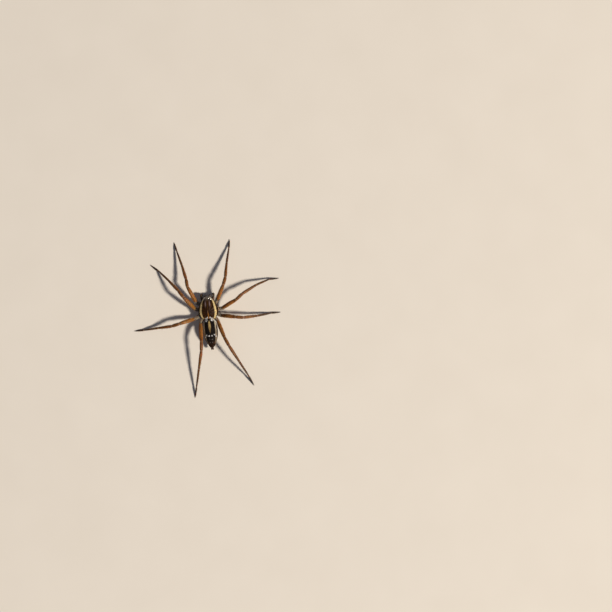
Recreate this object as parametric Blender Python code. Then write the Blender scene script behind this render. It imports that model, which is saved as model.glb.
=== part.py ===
"""Great raft spider standing at rest, at life size.

The body frame is in millimetres: x runs to the spider's left, y runs aft from
the middle of the carapace, and z runs up from the floor. The head faces -y.
Meshes are in metres, and the whole animal is moved at the end so that the
origin lies on the floor under the middle of its bounding box.
"""

import math

import bmesh
import bpy
import numpy as np

MM = 0.001

# Clearances between neighbouring parts
GAP = 0.3
EYE_GAP = 0.05
# Wider ones that leave about GAP where a limb bends, and square to the chest's sloping sides
JOINT_GAP = 0.44
COXA_GAP = 0.45

# Carapace and sternum
CARAPACE_FRONT = -3.75
CARAPACE_LENGTH = 6.75
CARAPACE_HALF_WIDTH = 2.97
CARAPACE_RIM = 3.05
CARAPACE_TOP = 5.2
STERNUM_LEVEL = 1.45
STERNUM_HALF_WIDTH = 1.5
# How boldly the dome and the sides swell: one half would make them round
CROWN_POWER = 0.78
SIDE_POWER = 0.85

# Abdomen
ABDOMEN_FRONT = 3.3
ABDOMEN_LENGTH = 7.9
ABDOMEN_HALF_WIDTH = 2.2
ABDOMEN_TOP = 4.5
ABDOMEN_BELLY = 0.95
ABDOMEN_MIDLINE = 2.75
ABDOMEN_OVERHANG = 0.4
OVERHANG_SHARE = 0.35
TAIL_DROOP = 0.5
TAIL_SHARE = 0.55
ABDOMEN_SWING = math.radians(1.7)

WAIST_RADIUS = 0.42
WAIST_HEIGHT = 2.6

# Spinnerets: the collar's radii, then how far out, above, long and thick each spigot is
COLLAR_AFT = 0.32
COLLAR_UNDER = 0.25
COLLAR_RADII = (0.36, 0.4, 0.34)
COLLAR_LENGTH = 0.25
SPIGOTS = ((0.2, -0.19, 0.46, 0.23), (0.1, 0.0, 0.42, 0.12), (0.19, 0.19, 0.48, 0.2))
SPIGOT_SPLAY = 0.02
SPIGOT_SPREAD = 0.2
SPIGOT_TAPER = (1.0, 0.92, 0.6)

# Eyes: name, distance out, distance aft of the face, height, radius
EYE_FACE = -3.73
FRONT_EYES = (("front_inner", 0.21, 0.0, 3.58, 0.15), ("front_outer", 0.53, 0.08, 3.53, 0.12))
# Eyes on top of the head: the height is how far the middle lies under the crown
REAR_EYES = (("rear_inner", 0.33, 0.38, 0.12, 0.2), ("rear_outer", 0.82, 0.95, 0.03, 0.2))

# Head parts
CHELICERA_OUT = 0.7
CHELICERA_HALF_WIDTH = 0.54
CHELICERA_BACK = -3.45
CHELICERA_BULGE = 0.55
CHELICERA_TOP = 2.95
CHELICERA_BOTTOM = 0.95
CHELICERA_ROUNDING = 0.2
CHELICERA_RADII = ((0, 0.8), (0.25, 0.98), (0.5, 1), (0.8, 0.86), (1, 0.62))
FANG_PATH = ((0.9, -3.98, 0.58), (0.72, -3.86, 0.45), (0.46, -3.7, 0.44), (0.22, -3.55, 0.54))
FANG_RADII = (0.15, 0.14, 0.1, 0.04)
PALP_JOINTS = (
    (0.7, -2.05, 1.7), (1.45, -2.7, 1.85), (1.85, -3.75, 2.6), (1.88, -4.3, 2.45),
    (1.78, -4.6, 1.65), (1.6, -4.65, 0.55),
)
PALP_RADII = (
    (0, 0.34), (0.18, 0.38), (0.3, 0.36), (0.45, 0.31), (0.6, 0.31), (0.75, 0.3), (0.88, 0.33),
    (1, 0.2),
)
PALP_CORNER = 0.6
LOBE_CENTRE = (0.86, -2.35, 1.5)
LOBE_RADII = (0.3, 0.58, 0.28)
LABIUM_CENTRE = (0.0, -2.2, 1.62)
LABIUM_RADII = (0.32, 0.5, 0.3)

# Legs: lengths of femur, patella, tibia, metatarsus and tarsus of each pair
PODOMERES = {
    1: (5.9, 2.4, 4.9, 5.0, 2.6),
    2: (6.2, 2.45, 5.1, 5.2, 2.75),
    3: (5.7, 2.3, 4.7, 4.8, 2.5),
    4: (6.8, 2.75, 5.65, 5.85, 3.05),
}
# Where each coxa leaves the sternum, by pair, and where each trochanter ends: out, aft, height
COXA_ROOTS = {1: (1.3, -1.35, 2.0), 2: (1.5, -0.3, 1.95), 3: (1.5, 0.9, 1.95), 4: (1.2, 2.0, 2.0)}
HIPS = {
    (1, "right"): (2.75, -2.35, 2.1), (1, "left"): (3.4, -2.2, 2.1),
    (2, "right"): (3.95, 0.08, 2.1), (2, "left"): (3.75, -0.15, 2.1),
    (3, "right"): (3.6, 2.12, 2.1), (3, "left"): (4.05, 2.4, 2.1),
    (4, "right"): (2.4, 3.35, 2.4), (4, "left"): (2.65, 3.65, 2.4),
}
# Pose of each leg: heights of its knee, patella's end, ankle and tarsus joint, then the
# headings of its five podomeres, in degrees from straight ahead, turning outwards
POSE = {
    (1, "right"): ((5.3, 4.7, 2.7, 1.0), (29, 19, 8, 12, 8)),
    (2, "right"): ((5.6, 5.4, 4.2, 1.2), (67, 50, 61, 67, 87)),
    (3, "right"): ((5.5, 5.3, 2.9, 0.6), (104, 99, 85, 81, 89)),
    (4, "right"): ((5.6, 5.8, 4.5, 1.4), (162, 156, 152, 152, 156)),
    (1, "left"): ((4.7, 4.0, 2.5, 0.9), (24, 6, 13, 16, 13)),
    (2, "left"): ((5.8, 5.3, 3.1, 0.6), (40, 32, 39, 41, 49)),
    (3, "left"): ((4.8, 4.2, 2.1, 0.6), (106, 102, 90, 92, 90)),
    (4, "left"): ((5.7, 5.4, 3.5, 1.2), (180, 175, 166, 166, 167)),
}
TOE_TIP_HEIGHT = 0.13
FEMUR_BOW = 0.4
CORNER_LENGTH = 1.2

# Radii along a leg: podomere number (0 is the coxa), share of its length, radius
LEG_RADII = (
    (0, 0.0, 0.42), (0, 0.45, 0.5), (0, 0.8, 0.5), (0, 1.0, 0.46),
    (1, 0.12, 0.52), (1, 0.4, 0.6), (1, 0.75, 0.56), (1, 1.0, 0.46),
    (2, 0.35, 0.5), (2, 0.85, 0.47), (2, 1.0, 0.42),
    (3, 0.18, 0.47), (3, 0.6, 0.42), (3, 1.0, 0.34),
    (4, 0.12, 0.34), (4, 0.7, 0.28), (4, 1.0, 0.23),
    (5, 0.15, 0.26), (5, 0.7, 0.21), (5, 1.0, 0.15),
)
# Claws: how far ahead of the tarsus's root each point lies, how far aside, its height, its radius
CLAW_ROOT_AHEAD = -0.12
CLAW_ROOT_ASIDE = 0.06
CLAW_CURVE = (
    (0.0, 0.0, 0.0, 0.07), (0.2, 0.03, 0.07, 0.06), (0.38, 0.06, 0.0, 0.045),
    (0.46, 0.07, -0.09, 0.02),
)

SIDES = {"left": 1.0, "right": -1.0}

# Rounded end of a tube: share of its length and of the tube's radius at each extra ring
END_RINGS = ((1.0, 0.62), (0.45, 0.9))
LIMB_END = 0.35
LINE_POINTS = 241
CORNER_POINTS = 9

COLOURS = {
    "carapace": ((0.055, 0.026, 0.014), 0.42),
    "abdomen": ((0.035, 0.022, 0.016), 0.6),
    "cuticle": ((0.11, 0.055, 0.025), 0.4),
    "leg_upper": ((0.27, 0.14, 0.055), 0.45),
    "leg_middle": ((0.2, 0.095, 0.05), 0.45),
    "leg_lower": ((0.09, 0.06, 0.042), 0.5),
    "fang": ((0.02, 0.008, 0.006), 0.15),
    "eye": ((0.006, 0.005, 0.006), 0.06),
}


def clear_scene():
    """Empties the file of objects, meshes and materials."""
    for thing in list(bpy.data.objects):
        bpy.data.objects.remove(thing, do_unlink=True)
    for mesh in list(bpy.data.meshes):
        bpy.data.meshes.remove(mesh)
    for material in list(bpy.data.materials):
        bpy.data.materials.remove(material)


def material_for(name, finish):
    """A plain Principled material for one part."""
    colour, roughness = COLOURS[finish]
    material = bpy.data.materials.new(name)
    material.use_nodes = True
    shader = material.node_tree.nodes["Principled BSDF"]
    shader.inputs["Base Color"].default_value = (*colour, 1.0)
    shader.inputs["Roughness"].default_value = roughness
    shader.inputs["Metallic"].default_value = 0.0
    material.diffuse_color = (*colour, 1.0)
    return material


def curve(stops, at):
    """Smooth curve through (place, value) stops: a cubic with the slopes of its neighbours."""
    places = np.array([stop[0] for stop in stops], dtype=float)
    values = np.array([stop[1] for stop in stops], dtype=float)
    slopes = np.gradient(values, places)
    at = np.clip(np.asarray(at, dtype=float), places[0], places[-1])
    index = np.clip(np.searchsorted(places, at) - 1, 0, len(places) - 2)
    span = places[index + 1] - places[index]
    u = (at - places[index]) / span
    start = (1 + 2 * u) * (1 - u) ** 2 * values[index] + u * (1 - u) ** 2 * span * slopes[index]
    end = u * u * (3 - 2 * u) * values[index + 1] + u * u * (u - 1) * span * slopes[index + 1]
    return start + end


def unit(vectors):
    """Vectors scaled to length one."""
    return vectors / np.linalg.norm(vectors, axis=-1, keepdims=True)


def loft_mesh(rings, front=None, back=None):
    """A closed bmesh through rings of points in millimetres, with a pole at each end."""
    bm = bmesh.new()
    rows = [[bm.verts.new(point * MM) for point in ring] for ring in rings]
    count = len(rows[0])
    for near, far in zip(rows, rows[1:]):
        for i in range(count):
            j = (i + 1) % count
            bm.faces.new((near[i], near[j], far[j], far[i]))
    for row, pole in ((rows[0], front), (rows[-1], back)):
        centre = np.mean([vert.co for vert in row], axis=0) if pole is None else pole * MM
        tip = bm.verts.new(centre)
        for i in range(count):
            bm.faces.new((row[i], row[(i + 1) % count], tip))
    bmesh.ops.recalc_face_normals(bm, faces=bm.faces)
    return bm


def add_part(name, bm, finish):
    """Turns a bmesh into a named, smooth-shaded object with its own material."""
    bmesh.ops.triangulate(bm, faces=bm.faces)
    mesh = bpy.data.meshes.new(name)
    bm.to_mesh(mesh)
    bm.free()
    part = bpy.data.objects.new(name, mesh)
    bpy.context.scene.collection.objects.link(part)
    if finish:
        part.data.materials.append(material_for(name, finish))
    part.data.shade_smooth()
    return part


def keep_largest(mesh):
    """Removes every closed surface of a mesh but the one with most faces."""
    bm = bmesh.new()
    bm.from_mesh(mesh)
    bm.faces.ensure_lookup_table()
    unseen = set(bm.faces)
    pieces = []
    while unseen:
        seed = unseen.pop()
        piece = {seed}
        frontier = [seed]
        while frontier:
            face = frontier.pop()
            for edge in face.edges:
                for other in edge.link_faces:
                    if other in unseen:
                        unseen.remove(other)
                        piece.add(other)
                        frontier.append(other)
        pieces.append(piece)
    largest = max(pieces, key=len)
    scraps = [face for piece in pieces if piece is not largest for face in piece]
    bmesh.ops.delete(bm, geom=scraps, context="FACES")
    bmesh.ops.triangulate(bm, faces=bm.faces)
    bm.to_mesh(mesh)
    bm.free()


def combine(part, others, operation):
    """Applies one Boolean on a collection of closed objects, then removes those objects."""
    group = bpy.data.collections.new(part.name + "_tools")
    for other in others:
        group.objects.link(other)
    boolean = part.modifiers.new("Boolean", "BOOLEAN")
    boolean.operation = operation
    boolean.solver = "EXACT"
    boolean.operand_type = "COLLECTION"
    boolean.collection = group
    view = bpy.context.evaluated_depsgraph_get()
    mesh = bpy.data.meshes.new_from_object(part.evaluated_get(view))
    part.modifiers.remove(boolean)
    old = part.data
    part.data = mesh
    bpy.data.meshes.remove(old)
    for other in others:
        bpy.data.objects.remove(other, do_unlink=True)
    bpy.data.collections.remove(group)
    keep_largest(part.data)
    part.data.name = part.name
    part.data.shade_smooth()


def tube_mesh(path, radii, sides, hint=(0.0, 0.0, 1.0), flat_floor=False, end=LIMB_END):
    """A closed tube along a path of points, with flat, rounded-off ends.

    Each ring is a circle square to the path. The end rings shrink over a share of the
    radius, given by end, and flat_floor lays what would pass the floor on it.
    """
    path = np.asarray(path, dtype=float)
    radii = np.asarray(radii, dtype=float)
    along = unit(np.gradient(path, axis=0))
    across = unit(np.cross(along, np.asarray(hint)))
    upward = np.cross(across, along)
    turns = np.linspace(0, 2 * math.pi, sides, endpoint=False)
    circle = np.cos(turns)[None, :, None] * across[:, None, :]
    circle = circle + np.sin(turns)[None, :, None] * upward[:, None, :]
    rings = path[:, None, :] + radii[:, None, None] * circle
    if end > 0:
        first = [path[0] + radii[0] * (r * circle[0] - end * d * along[0]) for d, r in END_RINGS]
        last = [path[-1] + radii[-1] * (r * circle[-1] + end * d * along[-1]) for d, r in END_RINGS]
        rings = np.concatenate([np.array(first), rings, np.array(last[::-1])])
    if flat_floor:
        rings[..., 2] = np.maximum(rings[..., 2], 0.0)
    return loft_mesh(rings)


def ellipsoid_mesh(centre, radii, rings=8, sides=12):
    """A closed ellipsoid with its poles front and back."""
    steps = np.linspace(0, math.pi, rings + 2)[1:-1]
    turns = np.linspace(0, 2 * math.pi, sides, endpoint=False)
    shape = np.stack(
        [
            np.sin(steps)[:, None] * np.cos(turns)[None, :],
            -np.cos(steps)[:, None] * np.ones(sides)[None, :],
            np.sin(steps)[:, None] * np.sin(turns)[None, :],
        ],
        axis=-1,
    )
    centre = np.asarray(centre, dtype=float)
    radii = np.asarray(radii, dtype=float)
    ends = np.array([0.0, radii[1], 0.0])
    return loft_mesh(centre + radii * shape, front=centre - ends, back=centre + ends)


def carapace_section(y):
    """Half width, crown height, sternum half width and sternum height at a place along the body."""
    t = (np.asarray(y, dtype=float) - CARAPACE_FRONT) / CARAPACE_LENGTH
    width = CARAPACE_HALF_WIDTH * curve(
        ((0, 0.44), (0.1, 0.53), (0.22, 0.66), (0.36, 0.85), (0.5, 0.965), (0.62, 1.0),
         (0.75, 0.97), (0.87, 0.83), (0.95, 0.66), (1, 0.5)), t)
    crown = CARAPACE_TOP + curve(
        ((0, -1.1), (0.1, -0.75), (0.3, -0.25), (0.55, 0), (0.75, -0.15), (0.9, -0.8), (1, -1.6)), t)
    sternum = STERNUM_HALF_WIDTH * curve(
        ((0, 0.62), (0.2, 0.75), (0.4, 1.0), (0.6, 1.0), (0.8, 0.75), (1, 0.42)), t)
    belly = STERNUM_LEVEL + curve(((0, 1.05), (0.12, 0.5), (0.3, 0.1), (0.6, 0), (0.85, 0.15), (1, 0.6)), t)
    return width, crown, sternum, belly


def carapace_rings(grow=0.0, sides=32):
    """Rings of the fused head and chest, each side of them moved out by grow."""
    front = CARAPACE_FRONT - grow
    length = CARAPACE_LENGTH + 2 * grow
    even = np.linspace(0, 1, 24)
    y = front + length * (0.6 * even + 0.2 * (1 - np.cos(math.pi * even)))
    width, crown, sternum, belly = carapace_section(y)
    inset = np.minimum(y - front, front + length - y)
    ease = np.clip(inset / 0.5, 0, 1)
    close = 0.62 + 0.38 * np.sqrt(1 - (1 - ease) ** 2)
    middle = 0.55 * crown + 0.45 * belly
    width = (width + grow) * close
    sternum = (sternum + grow) * close
    rim = middle + (CARAPACE_RIM - middle) * close
    crown = middle + (crown + grow - middle) * close
    belly = middle + (belly - grow - middle) * close
    turns = np.linspace(0, 2 * math.pi, sides, endpoint=False)
    rise = np.sin(turns)
    s = np.abs(rise)
    blend = np.clip(s / 0.4, 0, 1)
    blend = blend * blend * (3 - 2 * blend)
    upper_x = np.cos(turns) * width[:, None]
    lower_x = np.cos(turns) * (width[:, None] * (1 - blend) + sternum[:, None] * blend)
    upper_z = rim[:, None] + (crown - rim)[:, None] * s ** CROWN_POWER
    lower_z = rim[:, None] - (rim - belly)[:, None] * s ** SIDE_POWER
    x = np.where(rise >= 0, upper_x, lower_x)
    z = np.where(rise >= 0, upper_z, lower_z)
    return np.stack([x, np.broadcast_to(y[:, None], x.shape), z], axis=-1)


def crown_height(out, y):
    """Height of the carapace's surface at a distance out from the midline."""
    width, crown, _, _ = carapace_section(y)
    lift = math.sqrt(max(0.0, 1 - (out / float(width)) ** 2))
    return CARAPACE_RIM + (float(crown) - CARAPACE_RIM) * lift ** CROWN_POWER


def eye_places():
    """Name, distance out, y, height and radius of the four eyes of one side."""
    front = [(name, out, EYE_FACE + aft, z, radius) for name, out, aft, z, radius in FRONT_EYES]
    rear = [(name, out, EYE_FACE + aft, crown_height(out, EYE_FACE + aft) - under, radius)
            for name, out, aft, under, radius in REAR_EYES]
    return front + rear


def make_cephalothorax():
    """Head and chest under one carapace, with the labium and the sockets of the eyes."""
    part = add_part("cephalothorax", loft_mesh(carapace_rings()), "carapace")
    labium = add_part("labium_tool", ellipsoid_mesh(LABIUM_CENTRE, LABIUM_RADII), None)
    combine(part, [labium], "UNION")
    sockets = []
    for side, sign in SIDES.items():
        for name, out, y, z, radius in eye_places():
            hole = ellipsoid_mesh((sign * out, y, z), (radius + EYE_GAP,) * 3, 6, 10)
            sockets.append(add_part("socket_" + name + side, hole, None))
    combine(part, sockets, "DIFFERENCE")


def make_eyes():
    """Eight round eyes in two rows, the rear row on top of the head and wider set."""
    for side, sign in SIDES.items():
        for name, out, y, z, radius in eye_places():
            ball = ellipsoid_mesh((sign * out, y, z), (radius,) * 3, 6, 10)
            add_part("eye_" + name + "_" + side, ball, "eye")


def trim_by_carapace(part, clearance=GAP):
    """Cuts a part clear of the head and chest."""
    cutter = add_part("carapace_tool", loft_mesh(carapace_rings(clearance)), None)
    combine(part, [cutter], "DIFFERENCE")


def swung(points):
    """Points of the abdomen turned a little to the spider's right about the waist."""
    points = np.asarray(points, dtype=float)
    aft = points[..., 1] - ABDOMEN_FRONT
    x = points[..., 0] * math.cos(ABDOMEN_SWING) - aft * math.sin(ABDOMEN_SWING)
    y = points[..., 0] * math.sin(ABDOMEN_SWING) + aft * math.cos(ABDOMEN_SWING)
    return np.stack([x, ABDOMEN_FRONT + y, points[..., 2]], axis=-1)


def abdomen_rings(sides=28):
    """Rings of the long oval abdomen, blunt in front and tapering to the rear."""
    t = 0.5 - 0.5 * np.cos(np.linspace(0, math.pi, 25))
    y = ABDOMEN_FRONT + ABDOMEN_LENGTH * t
    width = ABDOMEN_HALF_WIDTH * curve(
        ((0, 0.3), (0.03, 0.58), (0.1, 0.82), (0.22, 0.97), (0.36, 1.0), (0.54, 0.96),
         (0.7, 0.83), (0.84, 0.62), (0.94, 0.4), (0.985, 0.27), (1, 0.2)), t)
    top = curve(
        ((0, 0.3), (0.03, 0.6), (0.12, 0.87), (0.32, 1), (0.6, 0.93), (0.8, 0.64), (0.94, 0.34),
         (1, 0.18)), t)
    under = curve(
        ((0, 0.25), (0.05, 0.55), (0.18, 0.9), (0.4, 1), (0.65, 0.92), (0.85, 0.62), (0.95, 0.36),
         (1, 0.18)), t)
    middle = ABDOMEN_MIDLINE - TAIL_DROOP * np.clip(t - TAIL_SHARE, 0, 1)
    turns = np.linspace(0, 2 * math.pi, sides, endpoint=False)
    rise = np.sin(turns)
    reach_up = (ABDOMEN_TOP - ABDOMEN_MIDLINE) * top
    reach_down = (ABDOMEN_MIDLINE - ABDOMEN_BELLY) * under
    x = width[:, None] * np.cos(turns)
    reach = np.where(rise >= 0, reach_up[:, None], reach_down[:, None])
    z = middle[:, None] + reach * rise
    lean = ABDOMEN_OVERHANG * np.clip(1 - t / OVERHANG_SHARE, 0, 1) ** 2
    y = y[:, None] - lean[:, None] * np.clip(rise, 0, 1)
    return swung(np.stack([x, y, z], axis=-1))


def make_abdomen():
    """The abdomen, one smooth body, with the narrow waist that joins it to the chest."""
    part = add_part("abdomen", loft_mesh(abdomen_rings()), "abdomen")
    start = CARAPACE_FRONT + CARAPACE_LENGTH + GAP
    path = [(0, y, WAIST_HEIGHT) for y in np.linspace(start, ABDOMEN_FRONT + 0.6, 4)]
    waist = add_part("waist_tool", tube_mesh(path, [WAIST_RADIUS] * 4, 14, end=0), None)
    combine(part, [waist], "UNION")
    trim_by_carapace(part)


def make_spinnerets():
    """Three pairs of short silk spigots on one collar behind the abdomen."""
    aft = ABDOMEN_FRONT + ABDOMEN_LENGTH + COLLAR_AFT
    base = np.array([0.0, aft, ABDOMEN_MIDLINE - COLLAR_UNDER])
    collar = [base + np.array([0.0, share * COLLAR_LENGTH, 0.0]) for share in (0, 0.5, 1)]
    part = add_part("spinnerets", tube_mesh(swung(collar), COLLAR_RADII, 10, end=0.2), "cuticle")
    spigots = []
    for side, sign in SIDES.items():
        for out, above, length, radius in SPIGOTS:
            root = base + np.array([sign * out, COLLAR_LENGTH / 2, above])
            reach = np.array([sign * SPIGOT_SPLAY, length, SPIGOT_SPREAD * above])
            path = swung([root, root + 0.5 * reach, root + reach])
            mesh = tube_mesh(path, radius * np.array(SPIGOT_TAPER), 7, end=0)
            spigots.append(add_part("spigot" + side + str(above), mesh, None))
    combine(part, spigots, "UNION")


def make_chelicerae():
    """The two stout jaws that hang from the face, each with its folded fang."""
    for side, sign in SIDES.items():
        t = np.linspace(0, 1, 9)
        drop = CHELICERA_TOP - CHELICERA_BOTTOM - CHELICERA_ROUNDING
        path = np.stack(
            [
                sign * CHELICERA_OUT * np.ones(len(t)),
                CHELICERA_BACK - CHELICERA_BULGE * np.sin(0.6 * math.pi * t),
                CHELICERA_TOP - drop * t,
            ],
            axis=-1,
        )
        radii = CHELICERA_HALF_WIDTH * curve(CHELICERA_RADII, t)
        part = add_part("chelicera_" + side, tube_mesh(path, radii, 14, (0, 1, 0), end=0.5), "carapace")
        trim_by_carapace(part)
        fang = [(sign * out, y, z) for out, y, z in FANG_PATH]
        add_part("fang_" + side, tube_mesh(fang, FANG_RADII, 8), "fang")


def make_palps():
    """The leg-like feelers beside the jaws: an inner length with its lobe, and an outer one."""
    for side, sign in SIDES.items():
        joints = [np.array([sign * out, y, z]) for out, y, z in PALP_JOINTS]
        line = leg_line(joints, PALP_CORNER)
        inner = piece_of_line(line, PALP_RADII, 0.0, joint_share(joints, 2), 8, 10)
        part = add_part("palp_inner_" + side, inner, "leg_upper")
        out, y, z = LOBE_CENTRE
        lobe = ellipsoid_mesh((sign * out, y, z), LOBE_RADII, 5, 10)
        combine(part, [add_part("lobe_tool", lobe, None)], "UNION")
        trim_by_carapace(part)
        outer = piece_of_line(line, PALP_RADII, joint_share(joints, 2), 1.0, 10, 10)
        add_part("palp_outer_" + side, outer, "leg_middle")


def joint_share(joints, number):
    """Share of a limb's length at which one of its joints lies."""
    steps = np.linalg.norm(np.diff(np.array(joints), axis=0), axis=1)
    return float(np.sum(steps[:number]) / np.sum(steps))


def leg_line(joints, corner):
    """Finely spaced points along straight podomeres, with each corner rounded over a length."""
    joints = np.array(joints)
    steps = np.linalg.norm(np.diff(joints, axis=0), axis=1)
    places = np.concatenate([[0], np.cumsum(steps)])
    window = np.linspace(-0.5, 0.5, CORNER_POINTS) * corner
    s = np.linspace(0, places[-1], LINE_POINTS)
    reach = np.minimum(1.0, 2 * np.minimum(s, places[-1] - s) / corner)
    line = np.zeros((len(s), 3))
    for offset in window:
        at = s + offset * reach
        line += np.stack([np.interp(at, places, joints[:, k]) for k in range(3)], axis=-1)
    return line / len(window)


def piece_of_line(line, stops, start, end, rings, sides, flat_floor=False):
    """A tube over part of a limb's line, half a clearance short at each inner end."""
    steps = np.linalg.norm(np.diff(line, axis=0), axis=1)
    places = np.concatenate([[0], np.cumsum(steps)])
    total = places[-1]
    radius_at = [float(curve(stops, value)) for value in (start, end)]
    near = start * total + (JOINT_GAP / 2 if start > 0 else 0) + LIMB_END * radius_at[0]
    far = end * total - (JOINT_GAP / 2 if end < 1 else 0) - LIMB_END * radius_at[1]
    s = np.linspace(near, far, rings)
    path = np.stack([np.interp(s, places, line[:, k]) for k in range(3)], axis=-1)
    return tube_mesh(path, curve(stops, s / total), sides, flat_floor=flat_floor)


def leg_joints(pair, side):
    """The seven joints of a leg, from the coxa's root to the tip of the tarsus."""
    heights, headings = POSE[(pair, side)]
    places = [np.array(COXA_ROOTS[pair]), np.array(HIPS[(pair, side)])]
    for length, heading, height in zip(PODOMERES[pair], headings, heights + (TOE_TIP_HEIGHT,)):
        last = places[-1]
        rise = height - last[2]
        run = math.sqrt(length * length - rise * rise)
        angle = math.radians(heading)
        places.append(np.array([last[0] + run * math.sin(angle), last[1] - run * math.cos(angle), height]))
    return [place * np.array([SIDES[side], 1, 1]) for place in places]


def leg_stops(shares):
    """Radius stops along the whole leg, from the radii given for each podomere."""
    bounds = [0.0] + list(shares)
    return [(bounds[n] + share * (bounds[n + 1] - bounds[n]), radius) for n, share, radius in LEG_RADII]


def make_leg(pair, side):
    """One leg in four lengths: coxa, femur, patella with tibia, and foot with its two claws."""
    joints = leg_joints(pair, side)
    shares = [joint_share(joints, number) for number in range(1, 7)]
    stops = leg_stops(shares)
    line = leg_line(joints, CORNER_LENGTH)
    bow = np.clip((np.linspace(0, 1, len(line)) - shares[0]) / (shares[1] - shares[0]), 0, 1)
    line[:, 2] += FEMUR_BOW * np.sin(math.pi * bow) ** 2
    name = "leg_" + str(pair) + "_" + side
    coxa = add_part(name + "_coxa", piece_of_line(line, stops, 0.0, shares[0], 5, 12), "leg_upper")
    trim_by_carapace(coxa, COXA_GAP)
    add_part(name + "_femur", piece_of_line(line, stops, shares[0], shares[1], 7, 10), "leg_upper")
    add_part(name + "_tibia", piece_of_line(line, stops, shares[1], shares[3], 10, 10), "leg_middle")
    foot = piece_of_line(line, stops, shares[3], 1.0, 14, 8, flat_floor=True)
    part = add_part(name + "_foot", foot, "leg_lower")
    ahead = joints[6] - joints[5]
    ahead[2] = 0.0
    ahead = ahead / np.linalg.norm(ahead)
    aside = np.array([-ahead[1], ahead[0], 0.0])
    claws = []
    for spread in (-1, 1):
        root = joints[6] + CLAW_ROOT_AHEAD * ahead + CLAW_ROOT_ASIDE * spread * aside
        path = [root + on * ahead + out * spread * aside + np.array([0, 0, up])
                for on, out, up, _ in CLAW_CURVE]
        mesh = tube_mesh(path, [stop[3] for stop in CLAW_CURVE], 5, end=0)
        claws.append(add_part("claw_tool" + str(spread), mesh, None))
    combine(part, claws, "UNION")


def stand_on_origin():
    """Hangs every part on one empty, moved so that the origin is under the bounding box's middle."""
    parts = [thing for thing in bpy.context.scene.objects if thing.type == "MESH"]
    points = np.array([vert.co for part in parts for vert in part.data.vertices])
    low, high = points.min(axis=0), points.max(axis=0)
    holder = bpy.data.objects.new("raft_spider", None)
    bpy.context.scene.collection.objects.link(holder)
    holder.location = (-(low[0] + high[0]) / 2, -(low[1] + high[1]) / 2, -low[2])
    for part in parts:
        part.parent = holder


def build():
    """Makes the whole spider."""
    clear_scene()
    make_cephalothorax()
    make_eyes()
    make_abdomen()
    make_spinnerets()
    make_chelicerae()
    make_palps()
    for pair in PODOMERES:
        for side in SIDES:
            make_leg(pair, side)
    stand_on_origin()


build()
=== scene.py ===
from math import cos, pi, radians, sin, sqrt

import bpy
import numpy as np
from mathutils import Matrix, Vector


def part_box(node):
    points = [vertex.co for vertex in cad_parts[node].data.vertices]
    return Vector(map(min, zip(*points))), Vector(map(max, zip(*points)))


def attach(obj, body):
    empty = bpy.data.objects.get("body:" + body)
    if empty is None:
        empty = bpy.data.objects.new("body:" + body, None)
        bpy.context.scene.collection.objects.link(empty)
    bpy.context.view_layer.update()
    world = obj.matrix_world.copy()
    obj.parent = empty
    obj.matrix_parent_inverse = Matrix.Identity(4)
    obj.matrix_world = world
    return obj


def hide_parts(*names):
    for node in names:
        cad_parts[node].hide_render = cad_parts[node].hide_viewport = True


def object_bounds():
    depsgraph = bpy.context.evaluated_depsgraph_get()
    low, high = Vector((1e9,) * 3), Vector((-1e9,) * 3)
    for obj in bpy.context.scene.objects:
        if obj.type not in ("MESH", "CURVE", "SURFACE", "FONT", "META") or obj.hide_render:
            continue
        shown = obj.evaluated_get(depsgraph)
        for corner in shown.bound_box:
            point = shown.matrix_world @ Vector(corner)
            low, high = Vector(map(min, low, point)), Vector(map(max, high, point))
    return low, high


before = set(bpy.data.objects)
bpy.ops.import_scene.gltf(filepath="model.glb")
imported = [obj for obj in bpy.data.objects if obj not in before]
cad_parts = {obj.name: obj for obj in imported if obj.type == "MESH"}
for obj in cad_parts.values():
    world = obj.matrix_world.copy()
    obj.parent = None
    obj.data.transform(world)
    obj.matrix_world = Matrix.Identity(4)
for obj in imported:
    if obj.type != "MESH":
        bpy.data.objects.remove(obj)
cad_low, cad_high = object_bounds()


# Carapace and chest
# The fused head and chest is one hard, shallow shield of brown cuticle above, rimmed and
# furrowed, and a heart-shaped sternum below. It carries the eyes, the jaws and all the legs.
MM = 0.001
CARAPACE_FRONT = -3.75
CARAPACE_LENGTH = 6.75
CARAPACE_HALF_WIDTH = 2.97
CARAPACE_RIM = 3.05
CARAPACE_TOP = 5.2
STERNUM_LEVEL = 1.45
STERNUM_HALF_WIDTH = 1.5
# How boldly the dome, the sides and the two ends swell: one half would make the first two round
CROWN_POWER = 0.78
SIDE_POWER = 0.85
END_POWER = 2.6
# Furrows, with headings in degrees from straight ahead
FOVEA_AFT = 1.15
FOVEA_DEPTH = 0.16
FURROW_HEADINGS = (62, 88, 115, 143)
FURROW_DEPTH = 0.07
NECK_HEADING = 36
NECK_DEPTH = 0.09
SOCKET_RISE = 0.05
# How far across the patch of one tuft is on the unwrap
PATCH = 0.003
chest_low, chest_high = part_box("cephalothorax")
body_place = np.array(
    [(chest_low.x + chest_high.x) / 2 / MM, chest_low.y / MM - CARAPACE_FRONT, 0.0])


def curve(stops, at):
    """Smooth curve through (place, value) stops: a cubic with the slopes of its neighbours."""
    places, values = np.array(stops, dtype=float).T
    slopes = np.gradient(values, places)
    at = np.clip(at, places[0], places[-1])
    index = np.clip(np.searchsorted(places, at) - 1, 0, len(places) - 2)
    span = places[index + 1] - places[index]
    u = (at - places[index]) / span
    start = (1 + 2 * u) * (1 - u) ** 2 * values[index] + u * (1 - u) ** 2 * span * slopes[index]
    end = u * u * (3 - 2 * u) * values[index + 1] + u * u * (u - 1) * span * slopes[index + 1]
    return start + end


def unit(vectors):
    """Vectors divided by their own length."""
    return vectors / np.maximum(np.linalg.norm(vectors, axis=-1, keepdims=True), 1e-12)


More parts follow.
